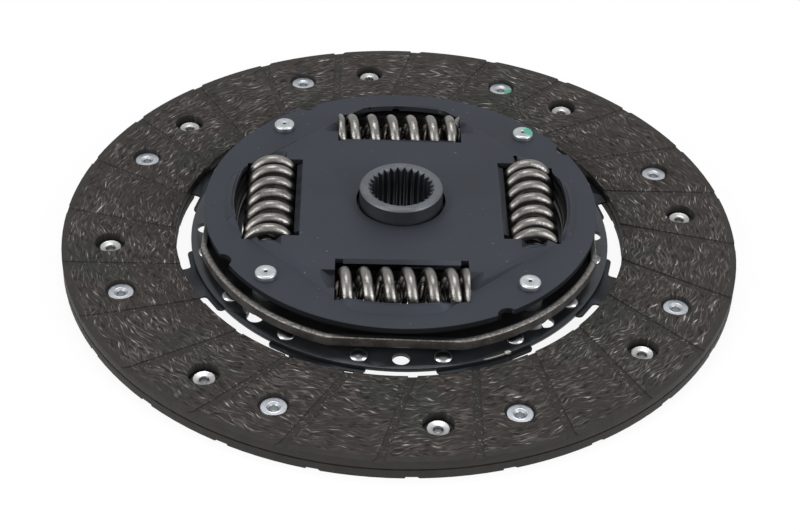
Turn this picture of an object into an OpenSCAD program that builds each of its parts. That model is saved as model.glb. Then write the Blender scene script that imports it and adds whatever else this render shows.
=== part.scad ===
// Clutch disc with a four-spring torsion damper, lying with its gearbox side up.
// Millimetres. The hub axis is +Z and z = 0 is the friction face on the flywheel side.

/* [Friction ring] */
// Outside diameter of the two friction facings
facing_od = 240; // [238:1:246]
// Inside diameter of the facings
facing_id = 160; // [157:1:162]
// Thickness of one facing
facing_t = 3.25; // [3.2:0.05:3.4]
// Number of cooling grooves across each facing
groove_count = 24; // [8:8:24]
// Width of a groove
groove_w = 3; // [1.6:0.1:3.4]
// Depth of a groove
groove_depth = 0.6; // [0.4:0.1:1.2]
// Distance of each groove's line from the hub axis
groove_offset = 24.4; // [20:0.1:25]
// Radius of the circle that the facing rivets stand on
facing_rivet_r = 103; // [101:0.5:105]

/* [Cushion segments] */
// Thickness of the spring steel segments between the facings
segment_t = 0.7; // [0.6:0.05:0.8]
// Outer reach of the segments inside the facing pair
segment_tip_r = 117; // [114:0.5:118]
// Radius of the shoulders that show beyond the retainer plate
segment_shoulder_r = 76.3; // [76:0.1:77]

/* [Retainer plate] */
// Outside radius of the thin plate that carries the segments
retainer_r = 74.6; // [74.2:0.1:75]
// Inside radius of that plate
retainer_bore_r = 56.6; // [56.2:0.1:57]
// Sheet thickness of the retainer plate
retainer_t = 1.5; // [1.4:0.05:1.6]
// Radius of the circle of segment rivets
segment_rivet_r = 69.6; // [69.2:0.1:70]

/* [Rear plate] */
// Outside radius of the pressed rear plate
rear_r = 72.6; // [72:0.1:73]
// Distance of its four flats from the axis
rear_flat = 68.9; // [68.6:0.1:69.4]
// Sheet thickness of the rear plate
rear_t = 2.2; // [2:0.1:2.3]
// Full height of its turned-up rim
rear_rim_h = 4.6; // [4.2:0.1:5]

/* [Cover plate] */
// Outside radius of the front cover plate
cover_r = 69.5; // [69:0.1:70]
// Sheet thickness of the cover plate
cover_t = 2; // [1.8:0.05:2]
// Height of the raised middle above the rim
cover_rise = 1.9; // [1.8:0.05:2.1]
// Radius of the hole that the hub stands in
cover_hole_r = 15.85; // [15.6:0.05:16.4]

/* [Damper springs] */
// Radius of the circle that the spring axes touch
spring_r = 46.2; // [46.1:0.1:46.4]
// Outside diameter of a damper spring
spring_od = 18.8; // [18:0.1:18.8]
// Wire diameter of a damper spring
spring_wire = 4; // [3.8:0.1:4.3]
// Pitch of its open coils
spring_pitch = 7.3; // [7:0.05:7.4]
// Fitted length of the springs
spring_length = 45.2; // [44.8:0.1:45.2]
// Outside diameter of the inner springs
inner_od = 9.4; // [8:0.1:10]
// Wire diameter of the inner springs
inner_wire = 2.1; // [1.6:0.1:2.2]

/* [Hub] */
// Outside radius of the hub
hub_r = 14.75; // [14.6:0.05:14.75]
// Height of the hub's front face above the flywheel-side friction face
hub_top = 25.5; // [24:0.1:28]
// Number of teeth in the hub's bore
spline_teeth = 28; // [24:2:30]
// Radius at the bottom of the tooth spaces
spline_major_r = 11.7; // [11.6:0.05:12]
// Radius over the tips of the teeth
spline_minor_r = 10.4; // [10.3:0.05:10.6]
// Twist of the hub each way before the stop pins meet the flange, in degrees
twist_limit = 8; // [5:0.5:8]

/* [Hidden] */
$fn = 96;

// How far a cutting tool reaches past the metal
over = 1;
// Gap between a rivet or pin and its hole
rivet_gap = 0.05;
// Gap between faces that rub on each other
rub_gap = 0.05;

// Heights of the layers, from the flywheel side up
segment_z = facing_t;
front_facing_z = segment_z + segment_t;
pack_h = front_facing_z + facing_t;
pad_rise = 3.15;
rear_z = front_facing_z + retainer_t + pad_rise;
rear_floor_top = rear_z + rear_t;
flange_t = 4.2;
flange_z = rear_floor_top + 0.9;
flange_top = flange_z + flange_t;
cover_z = flange_top + 0.5;
cover_rim_top = cover_z + cover_t;
cover_top = cover_rim_top + cover_rise;
cover_underside = cover_top - cover_t;
spring_z = flange_z + flange_t / 2;

// Places around the axis, in degrees
segment_count = 8;
segment_pitch = 360 / segment_count;
segment_angle = 24.15;
front_rivet_angle = 23.27;
rear_rivet_angle = 8.13;
segment_rivet_half_angle = 10.9;
groove_angle = 1.6;
pin_angle = 45;
window_angle = 1.9;

// Facing rivets, tubular, and their seats
rivet_shank_r = 2.3;
rivet_bore_r = 1.4;
rivet_head_r = 4.45;
rivet_head_t = 0.6;
rivet_bead_r = 4.05;
rivet_bead_t = 0.9;
rivet_seat_r = 5.25;
rivet_web = 1.45;
clearance_hole_r = 5.35;
groove_mouth = 0.7;

// Segment rivets
small_shank_r = 2;
small_head_r = 3.1;
small_head_h = 1.5;
small_tail_r = 2.7;
small_tail_h = 1.1;
balance_hole_r = 2.95;

// Stop pins and the pads that they clamp
pin_count = 4;
pin_r = 62.9;
pin_shank_r = 3.2;
pin_body_r = 4.6;
pin_head_r = 3.8;
pin_head_h = 2.1;
pin_tail_r = 4.2;
pin_tail_h = 1.8;
pad_land_r = 6.2;
pad_slope = 0.6;
pad_wall = 1.5;

// Cover plate
window_inner = 37.3;
window_corner = 55.4;
window_outer_r = 59;
window_half = 22.75;
lip_length = 1.9;
lip_drop = 0.6;
lip_notch_w = 2.7;
ear_floor_half = 2.6;
ear_mouth_half = 4.8;
ear_wall = 1.2;
ear_length = 4.85;
ear_drop = 2.2;
plateau_r = 60;
plateau_flat = 51;
skirt_slope = 1.26;
skirt_inset = 0.8;
hole_bevel_r = 19;
hole_bevel_depth = 0.55;
rim_notch_r = 3.6;
rim_notch_depth = 2.3;
rim_notch_angle = 31.5;

// Rear plate
rear_bore_r = 16.45;
rear_window_inner = 37.1;
rear_window_corner = 55.4;
rear_window_outer_r = 58;
rear_bottom_chamfer = 1.1;

// Hub flange
flange_r = 65.5;
flange_window_inner = 36;
flange_window_corner = 55.9;
flange_window_outer_r = 58.3;
flange_notch_r = 57.6;
flange_bore_r = 18;
pin_clear_angle = 0.3;
flange_notch_half_angle = asin(pin_body_r / pin_r) + twist_limit + pin_clear_angle;

// Hub
hub_bottom = 0.5;
hub_chamfer = 0.7;
collar_gap = 0.02;
spline_pitch_r = (spline_major_r + spline_minor_r) / 2;
spline_pressure_angle = 30;
spline_flank_steps = 2;
bore_chamfer = 0.8;
spline_turn = 85.1;

// Friction parts
bush_sleeve_drop = 2.1;
bush_flange_r = 30;
bush_flange_t = 0.8;
washer_in_r = 18.4;
washer_out_r = 32;
washer_t = 0.8;
disc_spring_t = 0.7;
disc_spring_in_r = 17;
disc_spring_out_r = 31.5;

// Coils: the last turn at each end is closed and ground flat
closed_turns = 1;
spring_closed_pitch = 4.6;
spring_sides = 8;
spring_steps = 18;
inner_pitch = 5;
inner_closed_pitch = 2.3;
inner_sides = 5;
inner_steps = 12;
tip_overrun = 0.25;
spring_phase = [97, 220, 83, 206];
inner_phase = [0, 100, 200, 300];

function unit(v) = v / norm(v);
function polar(r, a) = [r * cos(a), r * sin(a)];

// A corner at b, between a and c, rounded with radius r
function corner(a, b, c, r, steps = 4) =
    let (
        u = unit(a - b),
        v = unit(c - b),
        half = acos(u * v) / 2,
        centre = b + unit(u + v) * r / sin(half),
        p0 = b + u * r / tan(half) - centre,
        p1 = b + v * r / tan(half) - centre,
        a0 = atan2(p0.y, p0.x),
        sweep = (atan2(p1.y, p1.x) - a0 + 540) % 360 - 180
    )
    [for (i = [0:steps]) centre + polar(r, a0 + sweep * i / steps)];

// The outline through points, with the radius beside each point rounding its corner
function rounded(points, radii) =
    let (n = len(points))
    [for (i = [0:n - 1])
        each radii[i] == 0 ? [points[i]]
            : corner(points[(i + n - 1) % n], points[i], points[(i + 1) % n], radii[i])];

module ring(r_out, r_in, z, h) {
    translate([0, 0, z])
        difference() {
            cylinder(h = h, r = r_out);
            translate([0, 0, -over])
                cylinder(h = h + 2 * over, r = r_in);
        }
}

module drill(r, z, h, radius, angle) {
    rotate(angle)
        translate([radius, 0, z])
            cylinder(h = h, r = r);
}

// Straight groove along X with a mouth that flares to the rim
module groove_outline() {
    half = groove_w / 2;
    start = facing_id / 4;
    rim = sqrt(pow(facing_od / 2, 2) - pow(groove_offset, 2));
    side = [
        [start, half],
        [rim - 2 * groove_mouth, half],
        [rim - groove_mouth, half + 0.25 * groove_mouth],
        [rim, half + groove_mouth],
        [rim + 2 * groove_mouth, half + 3 * groove_mouth]
    ];
    polygon(concat(side, [for (i = [len(side) - 1:-1:0]) [side[i].x, -side[i].y]]));
}

// Friction facing with its back at z = 0 and its rubbing face up
module facing_blank() {
    difference() {
        ring(facing_od / 2, facing_id / 2, 0, facing_t);
        for (i = [0:groove_count - 1])
            rotate(groove_angle + i * 360 / groove_count)
                translate([0, groove_offset, facing_t - groove_depth])
                    linear_extrude(groove_depth + over)
                        groove_outline();
        for (i = [0:segment_count - 1]) {
            drill(rivet_seat_r, rivet_web, facing_t, facing_rivet_r,
                front_rivet_angle + i * segment_pitch);
            drill(rivet_shank_r + rivet_gap, -over, facing_t, facing_rivet_r,
                front_rivet_angle + i * segment_pitch);
            drill(clearance_hole_r, -over, facing_t + 2 * over, facing_rivet_r,
                rear_rivet_angle + i * segment_pitch);
        }
    }
}

module facing_front() {
    color("#55504b")
        translate([0, 0, front_facing_z])
            facing_blank();
}

// The same facing turned over, its rivet holes in line with the front one's
module facing_rear() {
    color("#55504b")
        translate([0, 0, facing_t])
            rotate(front_rivet_angle + rear_rivet_angle)
                rotate([180, 0, 0])
                    facing_blank();
}

// Tubular rivet with the underside of its head at z = 0 and its tail rolled outwards
module tubular_rivet() {
    grip = rivet_web + segment_t;
    edge = 0.2;
    rotate_extrude()
        polygon([
            [rivet_bore_r, rivet_head_t],
            [rivet_head_r - edge, rivet_head_t],
            [rivet_head_r, rivet_head_t - edge],
            [rivet_head_r, 0],
            [rivet_shank_r, 0],
            [rivet_shank_r, -grip],
            [rivet_bead_r - 0.3, -grip],
            [rivet_bead_r, -grip - rivet_bead_t * 0.35],
            [rivet_bead_r - 0.2, -grip - rivet_bead_t * 0.75],
            [rivet_bead_r - 0.8, -grip - rivet_bead_t],
            [rivet_bore_r + 0.9, -grip - rivet_bead_t * 0.95],
            [rivet_bore_r + 0.2, -grip - rivet_bead_t * 0.6],
            [rivet_bore_r, -grip]
        ]);
}

module front_rivet_set() {
    for (i = [0:segment_count - 1])
        rotate(front_rivet_angle + i * segment_pitch)
            translate([facing_rivet_r, 0, front_facing_z + rivet_web])
                tubular_rivet();
}

module facing_rivets_front() {
    color("#b9b6ab")
        front_rivet_set();
}

module facing_rivets_rear() {
    color("#b9b6ab")
        translate([0, 0, pack_h])
            rotate(front_rivet_angle + rear_rivet_angle)
                rotate([180, 0, 0])
                    front_rivet_set();
}

// Flat spring steel segment: a root under the retainer plate, a neck and a wide paddle
module segment_outline() {
    root_r = 65.6;
    root_half = 13.5;
    neck_half = 6.3;
    paddle_half = 20.6;
    paddle_r = 85;
    fillet_r = 2;
    right = [
        polar(segment_shoulder_r, root_half),
        polar(segment_shoulder_r, neck_half),
        polar(paddle_r, neck_half * 0.9),
        polar(paddle_r + 3.5, paddle_half),
        polar(segment_tip_r, paddle_half)
    ];
    left = [for (i = [len(right) - 1:-1:0]) [right[i].x, -right[i].y]];
    corner_radii = [1.8, 1.2, 3, 3, 5];
    polygon(rounded(
        concat(
            [for (a = [-root_half:root_half / 4:root_half]) polar(root_r, a)],
            right,
            [for (a = [0.8:-0.2:-0.8]) polar(segment_tip_r, paddle_half * a)],
            left
        ),
        concat(
            [for (a = [-4:4]) 0],
            corner_radii,
            [for (a = [-4:4]) 0],
            [for (i = [len(corner_radii) - 1:-1:0]) corner_radii[i]]
        )
    ));
}

module cushion_segment(index) {
    color("#6d7884")
        rotate(segment_angle + (index - 1) * segment_pitch)
            difference() {
                translate([0, 0, segment_z])
                    linear_extrude(segment_t)
                        segment_outline();
                for (side = [-1, 1])
                    drill(small_shank_r + rivet_gap, segment_z - over, segment_t + 2 * over,
                        segment_rivet_r, side * segment_rivet_half_angle);
                for (angle = [front_rivet_angle, rear_rivet_angle])
                    drill(rivet_shank_r + rivet_gap, segment_z - over, segment_t + 2 * over,
                        facing_rivet_r, angle - segment_angle);
            }
}

module segment_rivets() {
    grip = retainer_t + segment_t;
    color("#c3c6c8")
        for (i = [0:segment_count - 1], side = [-1, 1])
            rotate(segment_angle + i * segment_pitch + side * segment_rivet_half_angle)
                translate([segment_rivet_r, 0, front_facing_z + retainer_t])
                    rotate_extrude($fn = 32)
                        polygon([
                            [0, small_head_h],
                            [small_head_r * 0.35, small_head_h * 0.95],
                            [small_head_r * 0.65, small_head_h * 0.76],
                            [small_head_r * 0.87, small_head_h * 0.47],
                            [small_head_r, 0],
                            [small_shank_r, 0],
                            [small_shank_r, -grip],
                            [small_tail_r, -grip],
                            [small_tail_r * 0.85, -grip - small_tail_h * 0.7],
                            [small_tail_r * 0.5, -grip - small_tail_h],
                            [0, -grip - small_tail_h]
                        ]);
}

// Thin ring between the segments and the rear plate, with a raised pad under each stop pin
module retainer_plate() {
    pad_h = retainer_t + pad_rise;
    color("#3d4045")
        difference() {
            union() {
                translate([0, 0, front_facing_z])
                    cylinder(h = retainer_t, r = retainer_r);
                for (i = [0:pin_count - 1])
                    rotate(pin_angle + i * 90)
                        translate([pin_r, 0, front_facing_z])
                            cylinder(h = pad_h, r1 = pad_land_r + pad_h * pad_slope,
                                r2 = pad_land_r);
            }
            for (i = [0:pin_count - 1])
                rotate(pin_angle + i * 90) {
                    pad_inside_r = pad_land_r + pad_h * pad_slope - pad_wall;
                    translate([pin_r, 0, front_facing_z - over])
                        cylinder(h = pad_rise + over, r1 = pad_inside_r + over * pad_slope,
                            r2 = pad_inside_r - pad_rise * pad_slope);
                    translate([pin_r, 0, front_facing_z - over])
                        cylinder(h = pad_h + 2 * over, r = pin_shank_r + rivet_gap);
                }
            translate([0, 0, front_facing_z - over])
                cylinder(h = pad_h + 2 * over, r = retainer_bore_r);
            for (i = [0:segment_count - 1]) {
                drill(balance_hole_r, front_facing_z - over, retainer_t + 2 * over,
                    segment_rivet_r, segment_angle + (i + 0.5) * segment_pitch);
                for (side = [-1, 1])
                    drill(small_shank_r + rivet_gap, front_facing_z - over,
                        retainer_t + 2 * over, segment_rivet_r,
                        segment_angle + i * segment_pitch + side * segment_rivet_half_angle);
            }
        }
}

// Spring window: straight inner edge and ends, square outer corners and a curved outer edge
module window_outline(inner, corner_x, outer_r, half) {
    translate([inner, -half])
        square([corner_x - inner, 2 * half]);
    intersection() {
        circle(r = outer_r);
        translate([inner, -half])
            square([outer_r, 2 * half]);
    }
}

module each_window() {
    for (i = [0:3])
        rotate(window_angle + i * 90)
            children();
}

module rear_outline(inset) {
    intersection() {
        circle(r = rear_r - inset);
        square(2 * (rear_flat - inset), center = true);
    }
}

// Everything outside the rear plate's bevelled lower edge
module rear_bottom_bevel() {
    difference() {
        translate([0, 0, rear_z - over])
            cylinder(h = rear_bottom_chamfer + over, r = rear_r + over);
        translate([0, 0, rear_z - over])
            cylinder(h = rear_bottom_chamfer + over, r1 = rear_r - rear_bottom_chamfer - over,
                r2 = rear_r);
    }
    for (i = [0:3])
        rotate(i * 90)
            translate([rear_flat, 0, rear_z + rear_bottom_chamfer])
                rotate([0, 45, 0])
                    translate([0, -rear_r / 2, -4 * rear_bottom_chamfer])
                        cube([4 * rear_bottom_chamfer, rear_r, 4 * rear_bottom_chamfer]);
}

module rear_plate() {
    color("#6e675f")
        difference() {
            translate([0, 0, rear_z])
                linear_extrude(rear_rim_h)
                    rear_outline(0);
            translate([0, 0, rear_floor_top])
                linear_extrude(rear_rim_h)
                    rear_outline(rear_t);
            rear_bottom_bevel();
            translate([0, 0, rear_z - over])
                cylinder(h = rear_t + 2 * over, r = rear_bore_r);
            each_window()
                translate([0, 0, rear_z - over])
                    linear_extrude(rear_t + 2 * over)
                        window_outline(rear_window_inner, rear_window_corner,
                            rear_window_outer_r, window_half);
            for (i = [0:pin_count - 1])
                drill(pin_shank_r + rivet_gap, rear_z - over, rear_t + 2 * over, pin_r,
                    pin_angle + i * 90);
        }
}

// Raised middle of the cover: a cone cut by four sloping flats, its top at z_top
module dish(inset, z_top, depth) {
    top_r = plateau_r - inset;
    difference() {
        translate([0, 0, z_top - depth])
            cylinder(h = depth, r1 = top_r + depth * skirt_slope, r2 = top_r);
        for (i = [0:3])
            rotate(pin_angle + i * 90)
                translate([plateau_flat - inset, 0, z_top])
                    rotate([0, -atan(skirt_slope), 0])
                        translate([0, -plateau_r, -plateau_r / 2])
                            cube([plateau_r, 2 * plateau_r, plateau_r]);
    }
}

// Pocket pressed down towards the end of a spring: sloping sides, and a floor that rises
// from the window's edge to the plate. It is filled from that floor, sunk by a depth, up to z.
module ear_pocket(sink, spread, z) {
    side_slope = (ear_mouth_half - ear_floor_half) / ear_drop;
    z_low = cover_top - ear_drop - sink;
    low_half = ear_floor_half + spread;
    high_half = low_half + (z - z_low) * side_slope;
    reach = 2 * ear_length;
    difference() {
        translate([spring_r, window_half + reach, 0])
            rotate([90, 0, 0])
                linear_extrude(reach + (sink > 0 ? 0 : over))
                    polygon([
                        [-low_half, z_low], [low_half, z_low], [high_half, z], [-high_half, z]
                    ]);
        translate([spring_r - 2 * ear_mouth_half, window_half, z_low])
            rotate([atan(ear_drop / ear_length), 0, 0])
                translate([0, -reach, -reach])
                    cube([4 * ear_mouth_half, 4 * reach, reach]);
    }
}

module each_ear() {
    each_window()
        for (side = [0, 1])
            mirror([0, side, 0])
                children();
}

// Inner edge of a window, bent down between its two corner notches
module window_lip() {
    lip_root = window_inner - lip_length;
    lip_half = window_half - lip_notch_w;
    translate([0, lip_half, 0])
        rotate([90, 0, 0])
            linear_extrude(2 * lip_half)
                polygon([
                    [lip_root - over, cover_top],
                    [lip_root, cover_top],
                    [window_inner, cover_top - lip_drop],
                    [window_inner, cover_underside - lip_drop],
                    [lip_root, cover_underside],
                    [lip_root - over, cover_underside]
                ]);
}

module cover_plate() {
    color("#6a6e75") {
        difference() {
            union() {
                difference() {
                    union() {
                        translate([0, 0, cover_z])
                            cylinder(h = cover_t, r = cover_r);
                        dish(0, cover_top, cover_rise + cover_t / 2);
                    }
                    dish(skirt_inset, cover_underside, cover_underside - cover_z + over);
                }
                intersection() {
                    each_ear()
                        ear_pocket(cover_t, ear_wall, cover_top - cover_t / 4);
                    union() {
                        translate([0, 0, cover_z - over])
                            cylinder(h = cover_t + over, r = cover_r);
                        dish(0, cover_top, cover_top - cover_z);
                    }
                }
            }
            translate([0, 0, cover_z - over])
                cylinder(h = cover_rise + cover_t + 2 * over, r = cover_hole_r);
            translate([0, 0, cover_top - hole_bevel_depth])
                cylinder(h = hole_bevel_depth, r1 = cover_hole_r, r2 = hole_bevel_r);
            each_window()
                translate([0, 0, cover_z - over])
                    linear_extrude(cover_rise + cover_t + 2 * over)
                        window_outline(window_inner - lip_length, window_corner,
                            window_outer_r, window_half);
            each_ear()
                ear_pocket(0, 0, cover_top + over);
            for (i = [0:3])
                drill(rim_notch_r, cover_z - over, cover_t + 2 * over,
                    cover_r - rim_notch_depth + rim_notch_r, rim_notch_angle + i * 90);
            for (i = [0:pin_count - 1])
                drill(pin_shank_r + rivet_gap, cover_z - over, cover_t + 2 * over, pin_r,
                    pin_angle + i * 90);
        }
        each_window()
            window_lip();
    }
}

// Wedge with its point on the axis, used to cut the notches round the stop pins
module wedge(half_angle, reach, z, h) {
    translate([0, 0, z])
        linear_extrude(h)
            polygon([[0, 0], polar(reach, -half_angle), [reach, 0], polar(reach, half_angle)]);
}

module hub_flange() {
    color("#5d5a56")
        difference() {
            ring(flange_r, flange_bore_r, flange_z, flange_t);
            each_window()
                translate([0, 0, flange_z - over])
                    linear_extrude(flange_t + 2 * over)
                        window_outline(flange_window_inner, flange_window_corner,
                            flange_window_outer_r, spring_length / 2 + rub_gap);
            for (i = [0:pin_count - 1])
                rotate(pin_angle + i * 90)
                    difference() {
                        wedge(flange_notch_half_angle, 1.2 * flange_r, flange_z - over,
                            flange_t + 2 * over);
                        translate([0, 0, flange_z - 2 * over])
                            cylinder(h = flange_t + 4 * over, r = flange_notch_r);
                    }
        }
}

// Involute spline: half the angle of a tooth space at radius r
function involute(angle) = tan(angle) - angle * PI / 180;
spline_base_r = spline_pitch_r * cos(spline_pressure_angle);
function space_half_angle(r) =
    90 / spline_teeth
    + (involute(spline_pressure_angle) - involute(acos(spline_base_r / r))) * 180 / PI;

function space_flank(centre, side) =
    [for (i = [0:spline_flank_steps])
        let (
            step = side < 0 ? i : spline_flank_steps - i,
            r = spline_minor_r + (spline_major_r - spline_minor_r) * step / spline_flank_steps
        )
        polar(r, centre + side * space_half_angle(r))];

module spline_outline() {
    polygon([for (i = [0:spline_teeth - 1])
        let (centre = spline_turn + i * 360 / spline_teeth)
        each concat(space_flank(centre, -1), space_flank(centre, 1))]);
}

module hub() {
    color("#4a4d50")
        difference() {
            rotate_extrude()
                polygon([
                    [0, hub_bottom],
                    [hub_r - hub_chamfer, hub_bottom],
                    [hub_r, hub_bottom + hub_chamfer],
                    [hub_r, flange_z],
                    [flange_bore_r - collar_gap, flange_z],
                    [flange_bore_r - collar_gap, flange_top],
                    [hub_r, flange_top],
                    [hub_r, hub_top - hub_chamfer],
                    [hub_r - hub_chamfer, hub_top],
                    [0, hub_top]
                ]);
            translate([0, 0, hub_bottom - over])
                linear_extrude(hub_top - hub_bottom + 2 * over)
                    spline_outline();
            for (z = [hub_bottom, hub_top])
                translate([0, 0, z])
                    rotate([z == hub_top ? 0 : 180, 0, 0])
                        translate([0, 0, -bore_chamfer])
                            cylinder(h = bore_chamfer + over, r1 = spline_major_r - bore_chamfer,
                                r2 = spline_major_r + over);
        }
}

// Turned pin: tail head below the pads, body between the plates, head on the cover
module stop_pin(index) {
    pad_under = rear_z - retainer_t;
    head_top = cover_rim_top + pin_head_h;
    round_r = 0.9;
    dimple_r = 1.3;
    color("#b4b6b8")
        rotate(pin_angle + (index - 1) * 90)
            translate([pin_r, 0, 0])
                rotate_extrude($fn = 48)
                    polygon(concat(
                        [
                            [0, pad_under - pin_tail_h],
                            [pin_tail_r * 0.6, pad_under - pin_tail_h],
                            [pin_tail_r * 0.9, pad_under - pin_tail_h * 0.65],
                            [pin_tail_r, pad_under],
                            [pin_shank_r, pad_under],
                            [pin_shank_r, rear_floor_top],
                            [pin_body_r, rear_floor_top],
                            [pin_body_r, cover_z],
                            [pin_shank_r, cover_z],
                            [pin_shank_r, cover_rim_top],
                            [pin_head_r, cover_rim_top]
                        ],
                        [for (a = [0:30:90])
                            [pin_head_r - round_r, head_top - round_r] + polar(round_r, a)],
                        [
                            [dimple_r, head_top],
                            [dimple_r * 0.6, head_top - 0.35],
                            [0, head_top - 0.5]
                        ]
                    ));
}

// Distance along a coil at turn u, counted from its middle
function coil_along(u, pitch, closed_pitch, open_turns) =
    sign(u) * (min(abs(u), open_turns) * pitch + max(abs(u) - open_turns, 0) * closed_pitch);

// A coil's own point turned to its window and moved to the spring's place. It is rounded to
// a thousandth so that the faces that meet there share one exact corner.
function placed(p, turn) =
    let (
        x = spring_r + p.x,
        moved = [x * cos(turn) - p.y * sin(turn), x * sin(turn) + p.y * cos(turn), spring_z + p.z]
    )
    [for (value = moved) round(value * 1000) / 1000];

// Swept wire of a coil along Y, with its ends ground flat at half_length
module coil(turn, mean_r, wire_r, pitch, closed_pitch, sides, steps, phase, hand) {
    half_length = spring_length / 2;
    open_turns = (half_length + tip_overrun - closed_turns * closed_pitch) / pitch;
    half_turns = open_turns + closed_turns;
    rings = ceil(2 * half_turns * steps);
    points = [for (i = [0:rings], k = [0:sides - 1])
        let (
            u = half_turns * (2 * i / rings - 1),
            angle = phase + hand * 360 * u,
            around = 360 * k / sides,
            r = mean_r + wire_r * cos(around),
            along = coil_along(u, pitch, closed_pitch, open_turns) + wire_r * sin(around),
            ground = max(-half_length, min(half_length, along))
        )
        placed([r * cos(angle), ground, r * sin(angle)], turn)];
    walls = [for (i = [0:rings - 1], k = [0:sides - 1])
        let (
            a = i * sides + k,
            b = i * sides + (k + 1) % sides
        )
        each hand > 0 ? [[a, b, b + sides], [a, b + sides, a + sides]]
            : [[b, a, a + sides], [b, a + sides, b + sides]]];
    first = [for (k = [0:sides - 1]) hand > 0 ? sides - 1 - k : k];
    last = [for (k = [0:sides - 1]) rings * sides + (hand > 0 ? k : sides - 1 - k)];
    polyhedron(points = points, faces = concat([first], walls, [last]));
}

module damper_spring(index) {
    color("#a3a19a")
        coil(window_angle + (index - 1) * 90, (spring_od - spring_wire) / 2, spring_wire / 2,
            spring_pitch, spring_closed_pitch, spring_sides, spring_steps,
            spring_phase[index - 1], -1);
}

module inner_spring(index) {
    color("#8f8d88")
        coil(window_angle + (index - 1) * 90, (inner_od - inner_wire) / 2, inner_wire / 2,
            inner_pitch, inner_closed_pitch, inner_sides, inner_steps,
            inner_phase[index - 1], 1);
}

// Flanged bush that centres the hub in the rear plate
module friction_bush() {
    color("#57534a")
        rotate_extrude()
            polygon([
                [hub_r + rub_gap, rear_floor_top - bush_sleeve_drop],
                [rear_bore_r - rub_gap, rear_floor_top - bush_sleeve_drop],
                [rear_bore_r - rub_gap, rear_floor_top + rub_gap],
                [bush_flange_r, rear_floor_top + rub_gap],
                [bush_flange_r, rear_floor_top + rub_gap + bush_flange_t],
                [hub_r + rub_gap, rear_floor_top + rub_gap + bush_flange_t]
            ]);
}

module friction_washer() {
    color("#57534a")
        ring(washer_out_r, washer_in_r, flange_top + rub_gap, washer_t);
}

// Shallow cone that presses the washer against the flange
module disc_spring() {
    z_low = flange_top + 2 * rub_gap + washer_t;
    z_high = cover_underside - rub_gap;
    color("#707375")
        rotate_extrude()
            polygon([
                [disc_spring_in_r, z_high - disc_spring_t],
                [disc_spring_out_r, z_low],
                [disc_spring_out_r, z_low + disc_spring_t],
                [disc_spring_in_r, z_high]
            ]);
}

facing_front();
facing_rear();
cushion_segment(1);  // cushion_segment_1
cushion_segment(2);  // cushion_segment_2
cushion_segment(3);  // cushion_segment_3
cushion_segment(4);  // cushion_segment_4
cushion_segment(5);  // cushion_segment_5
cushion_segment(6);  // cushion_segment_6
cushion_segment(7);  // cushion_segment_7
cushion_segment(8);  // cushion_segment_8
retainer_plate();
rear_plate();
cover_plate();
hub_flange();
hub();
stop_pin(1);  // stop_pin_1
stop_pin(2);  // stop_pin_2
stop_pin(3);  // stop_pin_3
stop_pin(4);  // stop_pin_4
damper_spring(1);  // damper_spring_1
damper_spring(2);  // damper_spring_2
damper_spring(3);  // damper_spring_3
damper_spring(4);  // damper_spring_4
inner_spring(1);  // inner_spring_1
inner_spring(2);  // inner_spring_2
inner_spring(3);  // inner_spring_3
inner_spring(4);  // inner_spring_4
friction_bush();
friction_washer();
disc_spring();
facing_rivets_front();
facing_rivets_rear();
segment_rivets();
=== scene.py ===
import math

import bmesh
import bpy
from mathutils import Matrix, Vector


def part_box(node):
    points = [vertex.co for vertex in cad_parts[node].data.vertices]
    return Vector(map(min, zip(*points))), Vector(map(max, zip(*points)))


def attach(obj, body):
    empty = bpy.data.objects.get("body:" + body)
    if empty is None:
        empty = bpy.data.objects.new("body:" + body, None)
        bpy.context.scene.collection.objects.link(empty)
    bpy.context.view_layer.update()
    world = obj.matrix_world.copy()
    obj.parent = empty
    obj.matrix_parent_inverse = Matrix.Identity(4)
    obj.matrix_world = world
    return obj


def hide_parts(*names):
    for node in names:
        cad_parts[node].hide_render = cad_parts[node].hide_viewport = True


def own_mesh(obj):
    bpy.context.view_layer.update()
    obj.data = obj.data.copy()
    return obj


# The looks of a clutch disc with a four-spring damper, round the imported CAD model.
# Lengths are in metres; MM turns millimetres into them.

MM = 0.001

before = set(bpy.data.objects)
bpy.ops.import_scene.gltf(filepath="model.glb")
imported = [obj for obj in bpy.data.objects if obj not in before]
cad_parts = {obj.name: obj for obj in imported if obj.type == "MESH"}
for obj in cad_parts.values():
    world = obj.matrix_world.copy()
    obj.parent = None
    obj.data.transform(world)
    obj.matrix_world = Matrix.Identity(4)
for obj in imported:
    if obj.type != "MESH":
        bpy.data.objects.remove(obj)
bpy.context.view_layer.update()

# Sizes taken from the frame
facing_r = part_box("facing_front")[1].x
pack_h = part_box("facing_front")[1].z
facing_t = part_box("facing_rear")[1].z
segment_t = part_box("facing_front")[0].z - facing_t
cover_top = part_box("cover_plate")[1].z
rear_low, rear_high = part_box("rear_plate")
retainer_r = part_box("retainer_plate")[1].x
hub_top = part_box("hub")[1].z

# Grooves of a facing, as the CAD model has them: each is straight, its line passes the axis at
# GROOVE_OFFSET, and GROOVE_ANGLE is the turn of the first one
GROOVE_COUNT = 24
GROOVE_OFFSET = 24.4 * MM
GROOVE_ANGLE = math.radians(1.6)

# Rings of rivets: radius of the ring and angle of the first one
FACING_RIVET_R = 103 * MM
FRONT_RIVET_ANGLE = math.radians(23.27)
REAR_RIVET_ANGLE = math.radians(8.13)
SEGMENT_RIVET_R = 69.6 * MM
SEGMENT_ANGLE = math.radians(24.15)
SEGMENT_RIVET_SPREAD = math.radians(21.8)
RIVET_PITCH = math.radians(45)

# Thickness of facing under a rivet's head, and of the retainer's sheet
RIVET_WEB = 1.45 * MM
RETAINER_T = 1.5 * MM

# Stop pins, a quarter turn apart
PIN_R = 62.9 * MM
PIN_ANGLE = math.radians(45)
QUARTER = math.radians(90)

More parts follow.
